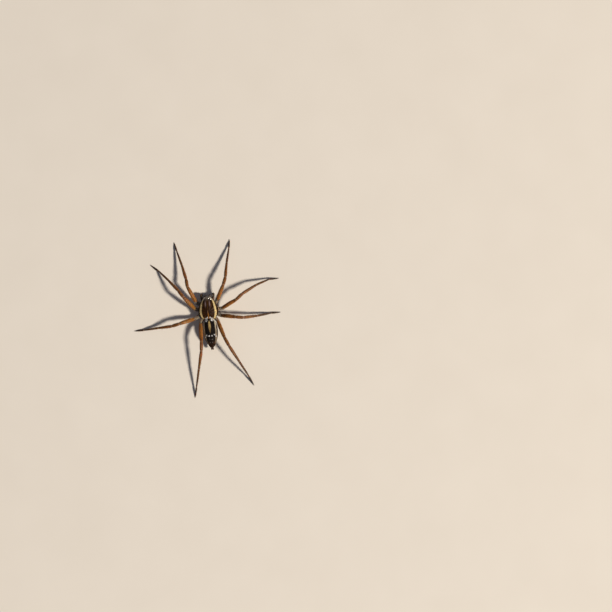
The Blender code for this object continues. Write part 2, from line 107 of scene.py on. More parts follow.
def together(*parts):
    """Grid of points from a grid or a number for each of their parts."""
    return np.stack(np.broadcast_arrays(*parts), axis=-1)


def held(value):
    """Value held between nought and one."""
    return np.clip(value, 0, 1)


def bell(distance, width):
    """A bump of height one: the exponential of minus the square of distance over width."""
    return np.exp(-(distance / width) ** 2)


def band(distance, half_width, soft):
    """One inside half_width of a line and nought beyond it, with an edge soft wide."""
    return held(0.5 + (half_width - np.abs(distance)) / soft)


def blend(first, second, share):
    """Colour that goes from first to second as share goes from nought to one."""
    share = np.asarray(share)[..., None]
    return first * (1 - share) + second * share


def add_object(name, data):
    """Object of some data, in the scene at the origin."""
    made = bpy.data.objects.new(name, data)
    bpy.context.scene.collection.objects.link(made)
    return made


def make_mesh(name, points, faces, face_uv, tint, finish, smooth=True):
    """Mesh from points in body millimetres, with its OFBake map, Tint colours and material."""
    mesh = bpy.data.meshes.new(name)
    corners = np.concatenate([group.reshape(-1) for group in faces])
    sizes = np.concatenate([np.full(len(group), group.shape[1]) for group in faces])
    mesh.vertices.add(len(points))
    mesh.vertices.foreach_set("co", ((points + body_place) * MM).astype(np.float32).reshape(-1))
    mesh.loops.add(len(corners))
    mesh.loops.foreach_set("vertex_index", corners.astype(np.int32))
    mesh.polygons.add(len(sizes))
    mesh.polygons.foreach_set("loop_start", (np.cumsum(sizes) - sizes).astype(np.int32))
    mesh.polygons.foreach_set("use_smooth", np.full(len(sizes), smooth))
    mesh.update(calc_edges=True)
    unwrap = mesh.uv_layers.new(name="OFBake")
    spots = np.concatenate([group.reshape(-1, 2) for group in face_uv])
    unwrap.data.foreach_set("uv", spots.astype(np.float32).reshape(-1))
    colours = mesh.color_attributes.new(name="Tint", type="FLOAT_COLOR", domain="POINT")
    rgba = np.concatenate([held(tint), np.ones((len(points), 1))], axis=1)
    colours.data.foreach_set("color", rgba.astype(np.float32).reshape(-1))
    mesh.materials.append(finish)
    return add_object(name, mesh)


def closed_skin(name, rings, tint, finish, patches=None):
    """Closed surfaces through rings of points, as many as the first index of rings counts.

    Each ring is joined to the next by quads, and the end rings close on the mean of their
    points. Tint is one colour for all, or one for each ring or point. OFBake runs round the
    rings in u and along them in v, or, with patches, each surface is a patch 0.003 across at
    its own place.
    """
    tint = np.broadcast_to(tint, rings.shape)
    if rings.ndim == 3:
        rings, tint = rings[None], tint[None]
    count, rows, turns = rings.shape[:3]
    poles, pole_tint = (grid[:, [0, -1]].mean(axis=2) for grid in (rings, tint))
    points = np.concatenate([rings.reshape(-1, 3), poles.reshape(-1, 3)])
    colours = np.concatenate([tint.reshape(-1, 3), pole_tint.reshape(-1, 3)])
    i, j = np.indices((rows - 1, turns))
    k = (j + 1) % turns
    near, far = i * turns, (i + 1) * turns
    quads = together(near + j, near + k, far + k, far + j).reshape(-1, 4)
    a = np.arange(turns)
    b = (a + 1) % turns
    first = (np.arange(count) * rows * turns)[:, None]
    last = first + (rows - 1) * turns
    pole = count * rows * turns + 2 * np.arange(count)[:, None]
    fans = np.concatenate([
        together(first + b, first + a, pole),
        together(last + a, last + b, pole + 1),
    ], axis=1).reshape(-1, 3)
    quads = (quads + first[..., None]).reshape(-1, 4)
    v = 0.02 + 0.96 * together(i, i, i + 1, i + 1) / (rows - 1)
    u = together(j, j + 1, j + 1, j) / turns
    quad_uv = together(u, v).reshape(1, -1, 4, 2)
    low = together(together(a + 1, a, a + 0.5) / turns, [0.02, 0.02, 0.0])
    high = together(together(a, a + 1, a + 0.5) / turns, [0.98, 0.98, 1.0])
    face_uv = [quad_uv, np.concatenate([low, high])[None]]
    if patches is not None:
        face_uv = [patches[:, None, None] + PATCH * (part - 0.5) for part in face_uv]
    corner = points[quads[:, :3]]
    normal = np.cross(corner[:, 1] - corner[:, 0], corner[:, 2] - corner[:, 0])
    middle = np.repeat(rings.mean(axis=(1, 2)), len(quads) // count, axis=0)
    if np.sum(normal * (corner[:, 0] - middle)) < 0:
        quads, fans = quads[:, ::-1], fans[:, ::-1]
        face_uv = [part[:, :, ::-1] for part in face_uv]
    return make_mesh(name, points, [quads, fans], face_uv, colours, finish)


def set_inputs(node, values):
    """Set the unlinked inputs of a node by their names."""
    for socket, value in values.items():
        node.inputs[socket].default_value = value


def link_nodes(material, links):
    """Link nodes of a material, each time an output of one to an input of the next."""
    for source, output, node, socket in links:
        material.node_tree.links.new(source.outputs[output], node.inputs[socket])


def body_finish(name, rough, grain, relief, shine=0.5):
    """Material of a body surface: its Tint, mottled, with fine relief across the whole of it.

    Tint is multiplied by a soft noise grain millimetres across, roughness follows the same
    noise about rough, and a second, finer noise raises a bump relief millimetres high.
    """
    material = bpy.data.materials.new(name)
    material.use_nodes = True
    nodes = material.node_tree.nodes
    shader = nodes["Principled BSDF"]
    place = nodes.new("ShaderNodeTexCoord")
    colour = nodes.new("ShaderNodeVertexColor")
    colour.layer_name = "Tint"
    mottle = nodes.new("ShaderNodeTexNoise")
    depth = nodes.new("ShaderNodeMapRange")
    mix = nodes.new("ShaderNodeMix")
    mix.data_type = "RGBA"
    mix.blend_type = "MULTIPLY"
    roughness = nodes.new("ShaderNodeMapRange")
    fine = nodes.new("ShaderNodeTexNoise")
    bump = nodes.new("ShaderNodeBump")
    set_inputs(shader, {"Specular IOR Level": shine})
    set_inputs(mottle, {"Scale": 1.0 / (grain * MM), "Detail": 3.0})
    set_inputs(depth, {"From Min": 0.3, "From Max": 0.7, "To Min": 0.72, "To Max": 1.25})
    set_inputs(mix, {"Factor": 1.0})
    set_inputs(roughness, {"To Min": rough - 0.1, "To Max": rough + 0.12})
    set_inputs(fine, {"Scale": 6.0 / (grain * MM), "Detail": 2.0})
    set_inputs(bump, {"Strength": 0.6, "Distance": relief * MM})
    link_nodes(material, (
        (place, "Object", mottle, "Vector"), (place, "Object", fine, "Vector"),
        (mottle, "Fac", depth, "Value"), (mottle, "Fac", roughness, "Value"),
        (colour, "Color", mix, "A"), (depth, "Result", mix, "B"),
        (mix, "Result", shader, "Base Color"), (roughness, "Result", shader, "Roughness"),
        (fine, "Fac", bump, "Height"), (bump, "Normal", shader, "Normal"),
    ))
    return material


def carapace_section(y):
    """Half width, crown height, sternum half width and sternum height at a place along the body."""
    t = (y - CARAPACE_FRONT) / CARAPACE_LENGTH
    width = CARAPACE_HALF_WIDTH * curve(
        ((0, 0.44), (0.1, 0.53), (0.22, 0.66), (0.36, 0.85), (0.5, 0.965), (0.62, 1.0),
         (0.75, 0.97), (0.87, 0.83), (0.95, 0.66), (1, 0.5)), t)
    crown = CARAPACE_TOP + curve(
        ((0, -1.1), (0.1, -0.75), (0.3, -0.25), (0.55, 0), (0.75, -0.15), (0.9, -0.8),
         (1, -1.6)), t)
    sternum = STERNUM_HALF_WIDTH * curve(
        ((0, 0.62), (0.2, 0.75), (0.4, 1.0), (0.6, 1.0), (0.8, 0.75), (1, 0.42)), t)
    belly = STERNUM_LEVEL + curve(
        ((0, 1.05), (0.12, 0.5), (0.3, 0.1), (0.6, 0), (0.85, 0.15), (1, 0.6)), t)
    return width, crown, sternum, belly


def crown_height(out, y):
    """Height of the carapace's surface at a distance out from the midline."""
    width, crown, _, _ = carapace_section(y)
    lift = sqrt(max(0.0, 1 - (out / float(width)) ** 2))
    return CARAPACE_RIM + (float(crown) - CARAPACE_RIM) * lift ** CROWN_POWER


# Eyes: name, distance out, place along the body, height, radius
EYE_FACE = CARAPACE_FRONT + 0.02
EYES = (
    ("front_inner", 0.21, EYE_FACE, 3.58, 0.15),
    ("front_outer", 0.53, EYE_FACE + 0.01, 3.53, 0.12),
    ("rear_inner", 0.33, EYE_FACE + 0.38, crown_height(0.33, EYE_FACE + 0.38) - 0.12, 0.2),
    ("rear_outer", 0.82, EYE_FACE + 0.95, crown_height(0.82, EYE_FACE + 0.95) - 0.03, 0.2),
)
EYE_BALLS = [(np.array([sign * out, y, z]), radius)
             for _, out, y, z, radius in EYES for sign in (1, -1)]


def carapace_skin(rows, turns):
    """Rings of the head and chest, from face to waist.

    Above the rim each ring is a dome from side to side, and below it the sides draw in
    to the sternum. Furrows are bells pressed into the dome: one long pit at the fovea, four
    pairs that fan out from it, and a pair that parts the head from the chest. A low bell
    raises the skin round each eye.
    """
    even = np.linspace(0, 1, rows)
    y = CARAPACE_FRONT + CARAPACE_LENGTH * (0.5 * even + 0.25 * (1 - np.cos(pi * even)))
    width, crown, sternum, belly = carapace_section(y)
    inset = np.minimum(y - CARAPACE_FRONT, CARAPACE_FRONT + CARAPACE_LENGTH - y)
    ease = held(inset / 0.5 + 0.012)
    close = (1 - (1 - ease) ** END_POWER) ** (1 / END_POWER)
    middle = 0.55 * crown + 0.45 * belly
    width, sternum = width * close, sternum * close
    levels = (CARAPACE_RIM, crown, belly)
    rim, crown, belly = (middle + (level - middle) * close for level in levels)
    angle = np.linspace(0, 2 * pi, turns, endpoint=False)
    rise = np.sin(angle)
    s = np.abs(rise)
    inward = held(s / 0.4)
    inward = inward * inward * (3 - 2 * inward)
    x = np.where(
        rise >= 0,
        np.cos(angle) * width[:, None],
        np.cos(angle) * (width[:, None] * (1 - inward) + sternum[:, None] * inward),
    )
    z = np.where(
        rise >= 0,
        rim[:, None] + (crown - rim)[:, None] * s ** CROWN_POWER,
        rim[:, None] - (rim - belly)[:, None] * s ** SIDE_POWER,
    )
    y = np.broadcast_to(y[:, None], x.shape)
    above = held(rise * 2.5)
    pit = FOVEA_DEPTH * bell(x, 0.1) * bell(y - FOVEA_AFT, 0.55)
    away = np.hypot(x, y - FOVEA_AFT)
    heading = np.degrees(np.arctan2(np.abs(x), FOVEA_AFT - y))
    fan = sum(bell(heading - turn, 6.0) for turn in FURROW_HEADINGS)
    furrow = FURROW_DEPTH * fan * held((away - 0.3) / 0.5) * held((2.5 - away) / 0.8)
    neck = NECK_DEPTH * bell(heading - NECK_HEADING, 6.0) * held((away - 0.3) / 0.6)
    neck = neck * held((3.4 - away) / 0.8)
    z = z - above * (pit + furrow + neck)
    rings = together(x, y, z)
    for centre, radius in EYE_BALLS:
        gap = rings - centre
        distance = np.linalg.norm(gap, axis=-1, keepdims=True)
        swell = unit(gap) * SOCKET_RISE * bell(distance - radius - 0.02, 0.07)
        rings = rings + swell * (distance > radius * 0.5)
    return rings


DARK_CUTICLE = (0.011, 0.0032, 0.001)
WARM_CUTICLE = (0.075, 0.028, 0.004)
BAND_CREAM = (0.68, 0.52, 0.25)
BAND_WHITE = (0.76, 0.66, 0.53)
# Lilac of a painted sheen: the sky's glint on the glossy head, put into the colour
PAINTED_SHEEN_LILAC = (0.32, 0.22, 0.21)
FACE_GREY = (0.17, 0.14, 0.11)
MIDLINE_DARK = (0.06, 0.025, 0.006)
MIDLINE_ORANGE = (0.4, 0.16, 0.03)
SPOT_WHITE = (0.9, 0.86, 0.8)
UNDER_TAN = (0.26, 0.15, 0.07)
UNDER_BROWN = (0.12, 0.06, 0.03)
# Middle of the pale band, as places along the body and distances out
CARAPACE_BAND = (
    (-3.6, 0.2), (-3.4, 0.7), (-3.1, 1.05), (-2.8, 1.3), (-2.2, 1.62), (-0.9, 1.96),
    (0.3, 2.17), (1.2, 2.2), (2.1, 2.0), (2.9, 1.6),
)
BAND_HALF_WIDTH = ((-3.7, 0.13), (-2, 0.2), (1, 0.26), (2.9, 0.21))
# White spots over the waist: distance out, place along the body, radius
WAIST_SPOTS = ((0.4, 2.52, 0.13), (0.85, 2.9, 0.22))


def carapace_colours(points):
    """Colours of the head and chest: dark field, paired cream bands, pale midline, painted sheen, tan
    beneath.
    """
    x, y, z = np.moveaxis(points, -1, 0)
    out = np.abs(x)
    away = np.hypot(x, y - FOVEA_AFT)
    heading = np.degrees(np.arctan2(out, FOVEA_AFT - y))
    rays = 0.5 + 0.5 * np.cos(np.radians(heading * 13.3))
    field = blend(DARK_CUTICLE, WARM_CUTICLE, 0.55 * rays * held(away / 1.2))
    # Painted sheen: a lilac streak each side of the head stands for the sky's glint on the cuticle
    painted_sheen = bell(out - 0.62, 0.16) * bell(y + 1.5, 0.75)
    field = blend(field, PAINTED_SHEEN_LILAC, 0.85 * painted_sheen)
    field = blend(field, FACE_GREY, 0.85 * bell(out, 0.85) * bell(y + 3.2, 0.55))
    midline = band(out, 0.07 + 0.05 * held((y + 1) / 3), 0.12) * held((y + 2.6) / 0.8)
    orange = blend(MIDLINE_DARK, MIDLINE_ORANGE, held((y - 0.4) / 1.4))
    field = blend(field, orange, 0.8 * midline)
    stripe = band(out - curve(CARAPACE_BAND, y), curve(BAND_HALF_WIDTH, y), 0.15)
    cream = blend(BAND_CREAM, BAND_WHITE, held((-2.4 - y) / 0.8))
    field = blend(field, cream, 0.95 * stripe)
    for spot_out, aft, size in WAIST_SPOTS:
        spot = held(1.5 - np.hypot(out - spot_out, y - aft) / size)
        field = blend(field, SPOT_WHITE, spot)
    under = held((CARAPACE_RIM - 0.12 - z) / 0.2)
    shield = blend(UNDER_TAN, UNDER_BROWN, band(out - 1.15, 0.15, 0.3))
    return blend(field, shield, under)


chest_rings = carapace_skin(190, 176)
chest_finish = body_finish("chest_cuticle", 0.45, 0.16, 0.02, 0.12)
chest_tint = carapace_colours(chest_rings)
chest = closed_skin("chest_skin", chest_rings, chest_tint, chest_finish)
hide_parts("cephalothorax")
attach(chest, "root")


# Hair of the head and chest
# Short flat tufts of hair lie back over the carapace, thick and cream along the two bands and
# thin, dark and silky between them. They grow from the cuticle and turn down over the face.
HAIR_CEILING = cad_high.z / MM + 0.1
HAIR_FLOOR = 0.004
CHEST_TUFTS = 15000
CHEST_HAIR_LENGTH = 0.24
CHEST_HAIR_LIFT = radians(14)
HAIR_GREY = (0.2, 0.18, 0.16)


def between(grid, place):
    """Values of a grid at places: a row, a turn, and the shares of the next turn and next row."""
    i, j, u, v = place
    k = (j + 1) % grid.shape[1]
    u, v = u[:, None], v[:, None]
    near = grid[i, j] * (1 - u) + grid[i, k] * u
    far = grid[i + 1, j] * (1 - u) + grid[i + 1, k] * u
    return near * (1 - v) + far * v


def roots_at(rings, tint, place):
    """Points of a skin of rings with their normal, direction along it, tint and OFBake place."""
    rows, turns = rings.shape[:2]
    along = np.gradient(rings, axis=0)
    normal = np.cross(along, np.roll(rings, -1, axis=1) - np.roll(rings, 1, axis=1))
    if np.sum(normal * (rings - rings.mean(axis=1, keepdims=True))) < 0:
        normal = -normal
    spot = [(place[1] + place[2]) / turns, 0.02 + 0.96 * (place[0] + place[3]) / (rows - 1)]
    return {
        "point": between(rings, place),
        "normal": unit(between(unit(normal), place)),
        "along": unit(between(along, place)),
        "tint": between(np.broadcast_to(tint, rings.shape), place),
        "spot": together(*spot),
    }


def roots_on(rings, tint, count, weight, seed):
    """Random points on a skin of rings, as dense as the weight of each place says."""
    rng = np.random.default_rng(seed)
    turns = rings.shape[1]
    sides = (np.gradient(rings, axis=0), np.roll(rings, -1, axis=1) - rings)
    share = np.linalg.norm(np.cross(*sides), axis=-1) * weight
    chance = np.cumsum(share[:-1])
    pick = np.searchsorted(chance, rng.random(count) * chance[-1])
    return roots_at(rings, tint, (pick // turns, pick % turns, *rng.random((2, count))))


def fur(name, roots, lie, length, width, lift, seed, bend=0.8, scatter=0.22):
    """Coat of tapered three-sided tufts that leave the skin at an angle and bend along the lie.

    A tuft's middle line is root + length * s * (cos(lift) * lie + sin(lift) * (1 - bend * s) *
    normal), with the root just under the skin, and OFBake holds it as a patch 0.003 across.
    """
    rng = np.random.default_rng(seed)
    point, normal = roots["point"], roots["normal"][:, None]
    count = len(point)
    lie = lie + scatter * rng.normal(size=(count, 3))
    lie = unit(lie - roots["normal"] * np.sum(lie * roots["normal"], axis=-1, keepdims=True))[:, None]
    across = np.cross(normal, lie)
    reach = (length * rng.uniform(0.7, 1.2, count))[:, None, None]
    half = (width * rng.uniform(0.75, 1.2, count))[:, None, None]
    rise = (lift * rng.uniform(0.6, 1.3, count))[:, None, None]
    s = np.array([0.0, 0.5, 1.0])[None, :, None]
    line = point[:, None] - 0.3 * half * normal
    line = line + reach * s * (np.cos(rise) * lie + np.sin(rise) * (1 - bend * s) * normal)
    corner = np.stack([across, 0.35 * normal, -across], axis=2)
    body = line[:, :2, None] + (half * np.array([1.0, 0.8])[None, :, None])[..., None] * corner
    points = np.concatenate([body.reshape(count, 6, 3), line[:, 2:]], axis=1)
    points[..., 2] = np.clip(points[..., 2], HAIR_FLOOR, HAIR_CEILING)
    first = 7 * np.arange(count)[:, None, None]
    quads = (first + [(0, 1, 4, 3), (1, 2, 5, 4), (2, 0, 3, 5)]).reshape(-1, 4)
    ends = (first + [(0, 2, 1), (3, 4, 6), (4, 5, 6), (5, 3, 6)]).reshape(-1, 3)
    local = np.array([(0, 0), (0.5, 0), (1, 0), (0, 0.5), (0.5, 0.5), (1, 0.5), (0.5, 1)])
    patch = (roots["spot"][:, None] + PATCH * (local - 0.5)).reshape(-1, 2)
    shade = np.array([0.8, 0.8, 0.8, 1.0, 1.0, 1.0, 1.2])[None, :, None]
    tint = (roots["tint"][:, None] * rng.uniform(0.75, 1.25, (count, 1, 1)) * shade).reshape(-1, 3)
    points, face_uv = points.reshape(-1, 3), [patch[quads], patch[ends]]
    return make_mesh(name, points, [quads, ends], face_uv, tint, hair_finish, False)


hair_finish = body_finish("body_hair", 0.65, 0.3, 0.001, 0.05)
pale = held(chest_tint[..., 0] / 0.4)
clear = 1.0
for centre, radius in EYE_BALLS:
    clear = clear * (np.linalg.norm(chest_rings - centre, axis=-1) > radius + 0.08)
above = chest_rings[..., 2] > CARAPACE_RIM - 0.25
chest_weight = clear * np.where(above, 0.45 + 1.3 * pale, 0.3)
chest_roots = roots_on(chest_rings, chest_tint, CHEST_TUFTS, chest_weight, 11)
point = chest_roots["point"]
face = held((-3.2 - point[:, 1]) / 0.5)[:, None]
aft = together(0.35 * point[:, 0] / CARAPACE_HALF_WIDTH, 1, 0)
lie = aft * (1 - face) + np.array([0.0, -0.4, -1.0]) * face
light = held(chest_roots["tint"][:, 0] / 0.4)
chest_roots["tint"] = blend(chest_roots["tint"] * 1.15, HAIR_GREY, 0.75 * face[:, 0])
chest_coat = fur("chest_hair", chest_roots, lie, CHEST_HAIR_LENGTH + 0.1 * light - 0.1 * face[:, 0],
                 0.009 + 0.004 * light, CHEST_HAIR_LIFT, 12)
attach(chest_coat, "root")


# Abdomen
# A long soft oval bag, blunt in front and pointed behind, under a velvet of short hair. It
# hangs from the chest by a narrow waist and leans a little over the back of the carapace.
ABDOMEN_FRONT = 3.3
ABDOMEN_LENGTH = 7.9
ABDOMEN_HALF_WIDTH = 2.2
ABDOMEN_TOP = 4.5
ABDOMEN_BELLY = 0.95
ABDOMEN_MIDLINE = 2.75
# How far the front leans over the waist and the tail droops, and over what shares of the length
ABDOMEN_OVERHANG = 0.4
OVERHANG_SHARE = 0.35
TAIL_DROOP = 0.5
TAIL_SHARE = 0.55
ABDOMEN_SWING = radians(1.7)
MUSCLE_PITS = ((0.5, 5.4), (0.6, 6.9))
PIT_DEPTH = 0.06


def swung(points):
    """Points of the abdomen turned a little to the spider's right about the waist."""
    x, y, z = np.moveaxis(points, -1, 0)
    aft = y - ABDOMEN_FRONT
    out = x * cos(ABDOMEN_SWING) - aft * sin(ABDOMEN_SWING)
    aft = x * sin(ABDOMEN_SWING) + aft * cos(ABDOMEN_SWING)
    return together(out, ABDOMEN_FRONT + aft, z)


def abdomen_middle(t):
    """Height of the abdomen's middle at a share of its length: level, then a straight droop."""
    return ABDOMEN_MIDLINE - TAIL_DROOP * held(t - TAIL_SHARE)


def abdomen_skin(rows, turns):
    """Rings of the abdomen: upper and lower half ellipses whose sizes follow the length.

    The front leans forward by the overhang, and four shallow bells press in the muscle pits
    along the back.
    """
    t = 0.5 - 0.5 * np.cos(np.linspace(0.03, pi - 0.03, rows))
    y = ABDOMEN_FRONT + ABDOMEN_LENGTH * t
    close = held(np.minimum(t, 1 - t) / 0.004) ** 0.5
    width = ABDOMEN_HALF_WIDTH * close * curve(
        ((0, 0.3), (0.03, 0.58), (0.1, 0.82), (0.22, 0.97), (0.36, 1.0), (0.54, 0.96),
         (0.7, 0.83), (0.84, 0.62), (0.94, 0.4), (0.985, 0.27), (1, 0.2)), t)
    top = close * curve(
        ((0, 0.3), (0.03, 0.6), (0.12, 0.87), (0.32, 1), (0.6, 0.93), (0.8, 0.64), (0.94, 0.34),
         (1, 0.18)), t)
    under = close * curve(
        ((0, 0.25), (0.05, 0.55), (0.18, 0.9), (0.4, 1), (0.65, 0.92), (0.85, 0.62),
         (0.95, 0.36), (1, 0.18)), t)
    middle = abdomen_middle(t)
    angle = np.linspace(0, 2 * pi, turns, endpoint=False)
    rise = np.sin(angle)
    up = (ABDOMEN_TOP - ABDOMEN_MIDLINE) * top
    down = (ABDOMEN_MIDLINE - ABDOMEN_BELLY) * under
    x = width[:, None] * np.cos(angle)
    z = middle[:, None] + np.where(rise >= 0, up[:, None], down[:, None]) * rise
    lean = ABDOMEN_OVERHANG * held(1 - t / OVERHANG_SHARE) ** 2
    y = y[:, None] - lean[:, None] * held(rise)
    above = held(rise * 3)
    for out, aft in MUSCLE_PITS:
        z = z - above * PIT_DEPTH * bell(np.abs(x) - out, 0.16) * bell(y - aft, 0.18)
    return together(x, y, z)


VELVET_DARK = (0.007, 0.0045, 0.0035)
VELVET_BROWN = (0.013, 0.0065, 0.0037)
HEART_TAN = (0.5, 0.35, 0.13)
HEART_BROWN = (0.14, 0.075, 0.03)
HEART_EDGE = (0.09, 0.04, 0.022)
TAIL_RUST = (0.07, 0.026, 0.01)
FRONT_CREAM = (0.62, 0.53, 0.38)
AFT_CREAM = (0.27, 0.2, 0.13)
HAIR_WHITE = (0.85, 0.8, 0.78)
FLANK_BROWN = (0.05, 0.027, 0.016)
BELLY_BROWN = (0.14, 0.08, 0.045)
HEART_HALF_WIDTH = ((3.5, 0.16), (4.3, 0.26), (5.0, 0.32), (5.6, 0.29), (6.5, 0.17), (7.3, 0.05))
ABDOMEN_BAND = (
    (3.1, 1.35), (3.7, 1.6), (4.7, 1.8), (5.75, 1.88), (7.0, 1.86), (8.4, 1.7),
    (9.3, 1.55), (10.3, 1.25), (11.2, 0.8),
)
ABDOMEN_BAND_HALF = ((3.1, 0.22), (5, 0.31), (9, 0.29), (11.2, 0.14))
# White spots: distance out, place along the body, half width, half length
ABDOMEN_SPOTS = (
    (0.42, 8.0, 0.13, 0.12), (1.2, 7.75, 0.2, 0.08), (0.38, 9.0, 0.04, 0.04),
    (0.33, 9.9, 0.03, 0.03), (1.56, 8.2, 0.11, 0.11),
)
TUFT_OUT = 0.85


def abdomen_colours(points):
    """Colours of the abdomen: near-black field, paired pale bands, heart mark and white spots."""
    x, y, z = np.moveaxis(points, -1, 0)
    out = np.abs(x)
    middle = abdomen_middle((y - ABDOMEN_FRONT) / ABDOMEN_LENGTH)
    above = held((z - middle - 0.15) / 0.3)
    field = blend(VELVET_DARK, VELVET_BROWN, held((y - 8.2) / 2.5) * bell(out, 0.7))
    edge = blend(HEART_EDGE, VELVET_DARK, held((y - 4) / 3))
    heart = curve(HEART_HALF_WIDTH, y)
    mark = band(out, heart, 0.12) * band(y - 5.4, 1.9, 0.3)
    rim = band(out - heart - 0.08, 0.07, 0.1) * band(y - 5.3, 1.5, 0.4)
    field = blend(field, edge, rim)
    field = blend(field, blend(HEART_TAN, HEART_BROWN, held((y - 5) / 2)), 0.85 * mark)
    tail = bell(out - 0.75, 0.35) * bell(y - 10.2, 0.5)
    field = blend(field, TAIL_RUST, 0.6 * tail)
    stripe = band(out - curve(ABDOMEN_BAND, y), curve(ABDOMEN_BAND_HALF, y), 0.14)
    cream = blend(FRONT_CREAM, AFT_CREAM, held((y - 4) / 3.5))
    field = blend(field, cream, 0.95 * stripe)
    for spot_out, aft, wide, long in ABDOMEN_SPOTS:
        spot = held(1.6 - np.hypot((out - spot_out) / wide, (y - aft) / long))
        field = blend(field, HAIR_WHITE, held(spot * 1.4))
    tuft = band(out - TUFT_OUT, 0.2, 0.14) * band(y - 3.2, 0.4, 0.2)
    field = blend(field, SPOT_WHITE, tuft)
    flank = blend(FLANK_BROWN, BELLY_BROWN, held((middle - z) / 1.2))
    return blend(flank, field, above)


abdomen_rings = abdomen_skin(230, 190)
abdomen_finish = body_finish("abdomen_velvet", 0.62, 0.14, 0.02, 0.15)
abdomen_tint = abdomen_colours(abdomen_rings)
abdomen = closed_skin("abdomen_skin", swung(abdomen_rings), abdomen_tint, abdomen_finish)
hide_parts("abdomen")
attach(abdomen, "root")


# Hair of the abdomen
# A dense velvet of short hair grows back over the whole abdomen and carries its markings, with
# longer white tufts in front, over the waist, and longer brown ones at the tail.
ABDOMEN_TUFTS = 19500
ABDOMEN_HAIR_LENGTH = 0.34
TAIL_TUFTS = 500
TAIL_HAIR_START = 10.2
TAIL_HAIR_BROWN = (0.026, 0.0105, 0.0045)
WAIST_TUFTS = 900
WAIST_HAIR_WHITE = (0.9, 0.87, 0.82)
pale = held(abdomen_tint[..., 0] / 0.4)
abdomen_swung = swung(abdomen_rings)
abdomen_roots = roots_on(abdomen_swung, abdomen_tint, ABDOMEN_TUFTS, 0.8 + 0.6 * pale, 21)
point = abdomen_roots["point"]
aft = together(0.25 * point[:, 0] / ABDOMEN_HALF_WIDTH, 1, 0)
abdomen_roots["tint"] = abdomen_roots["tint"] * 1.1
abdomen_reach = ABDOMEN_HAIR_LENGTH + 0.3 * held((point[:, 1] - TAIL_HAIR_START) / 0.9)
abdomen_coat = fur("abdomen_hair", abdomen_roots, aft, abdomen_reach, 0.013, radians(13), 22)
x, y, z = np.moveaxis(abdomen_rings, -1, 0)
tuft_weight = bell(np.abs(x) - TUFT_OUT, 0.24) * bell(y - 3.05, 0.35) * (z > ABDOMEN_MIDLINE + 0.2)
tuft_roots = roots_on(abdomen_swung, abdomen_tint, WAIST_TUFTS, tuft_weight, 31)
tuft_roots["tint"] = np.array([WAIST_HAIR_WHITE])
tail_roots = roots_on(abdomen_swung, abdomen_tint, TAIL_TUFTS, y > TAIL_HAIR_START + 0.1, 33)
tail_roots["tint"] = np.array([TAIL_HAIR_BROWN])
tail_hair = fur("tail_hair", tail_roots, (0, 1, 0), 0.75, 0.02, radians(22), 34)
tufts = fur("waist_tufts", tuft_roots, (0, -0.2, 1), 0.45, 0.017, radians(40), 32, scatter=0.4)
for piece in (abdomen_coat, tail_hair, tufts):
    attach(piece, "root")


# Waist
# A narrow stalk of bare brown cuticle, a little ribbed, joins the abdomen to the chest. It is
# sunk in both, and the front of the abdomen and the white tufts hide most of it.
WAIST_RADIUS = 0.42
WAIST_HEIGHT = 2.6
WAIST_BROWN = (0.11, 0.06, 0.03)


def tube_rings(path, radii, turns, hint=(0.0, 0.0, 1.0), flat=1.0):
    """Rings of circles square to a path, each flat times as wide as it is high."""
    along = unit(np.gradient(path, axis=0))
    across = unit(np.cross(along, hint))
    upward = np.cross(across, along)
    angle = np.linspace(0, 2 * pi, turns, endpoint=False)
    circle = flat * np.cos(angle)[None, :, None] * across[:, None]
    circle = circle + np.sin(angle)[None, :, None] * upward[:, None]
    return path[:, None] + radii[:, None, None] * circle


waist_y = np.linspace(2.7, ABDOMEN_FRONT + 0.7, 24)
waist_path = together(0, waist_y, WAIST_HEIGHT)
waist_radii = WAIST_RADIUS * (0.88 + 0.12 * np.cos(waist_y * 9))
waist_rings = tube_rings(waist_path, waist_radii, 32)
waist = closed_skin("waist", waist_rings, WAIST_BROWN, chest_finish)
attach(waist, "root")


# Spinnerets
# Three pairs of short, tapering silk spigots of brown cuticle stand close together round the
# end of the abdomen, on a low collar that joins them to it.
SPINNERET_PLACE = np.array([0.0, ABDOMEN_FRONT + ABDOMEN_LENGTH + 0.32, ABDOMEN_MIDLINE - 0.25])
COLLAR_RADIUS = 0.37
# How far out, above, long and thick each spigot of a side is
SPIGOTS = ((0.2, -0.19, 0.53, 0.235), (0.1, 0.0, 0.48, 0.12), (0.19, 0.19, 0.55, 0.205))
COLLAR_BROWN = (0.035, 0.016, 0.008)
SPIGOT_BROWN = (0.035, 0.014, 0.007)
spin = np.linspace(0, 1, 26)
collar_path = SPINNERET_PLACE + (0, 1, 0) * (0.74 * spin - 0.48)[:, None]
collar_radii = COLLAR_RADIUS * np.sqrt(np.clip(1 - (2 * spin - 1) ** 4, 0.01, 1))
collar_rings = tube_rings(swung(collar_path), collar_radii, 32)
collar = closed_skin("spinneret_collar", collar_rings, COLLAR_BROWN, chest_finish)
spigot_rings = []
for sign in (1, -1):
    for out, lift, length, radius in SPIGOTS:
        reach = np.array([sign * 0.02, length, 0.2 * lift])
        spigot_path = SPINNERET_PLACE + [sign * out, 0.1, lift] + reach * spin[:, None]
        taper = radius * (1 - 0.25 * spin) * np.sqrt(np.clip(1 - spin ** 8, 0.02, 1))
        taper = taper * (1 - 0.14 * bell(spin - 0.62, 0.04))
        spigot_rings.append(tube_rings(swung(spigot_path), taper, 20))
spigot_rings = np.array(spigot_rings)
spigot_places = 0.1 + 0.13 * np.arange(6)[:, None] * [1, 1]
spigots = closed_skin("spinnerets_skin", spigot_rings, SPIGOT_BROWN, chest_finish, spigot_places)
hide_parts("spinnerets")
for piece in (collar, spigots):
    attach(piece, "root")


# Legs
# Each leg is a row of hollow cuticle tubes joined by narrow rings of soft skin: coxa,
# trochanter, femur, patella, tibia, metatarsus and tarsus. One skin runs over all of them.
LEG_ROWS = 380
LEG_TURNS = 36
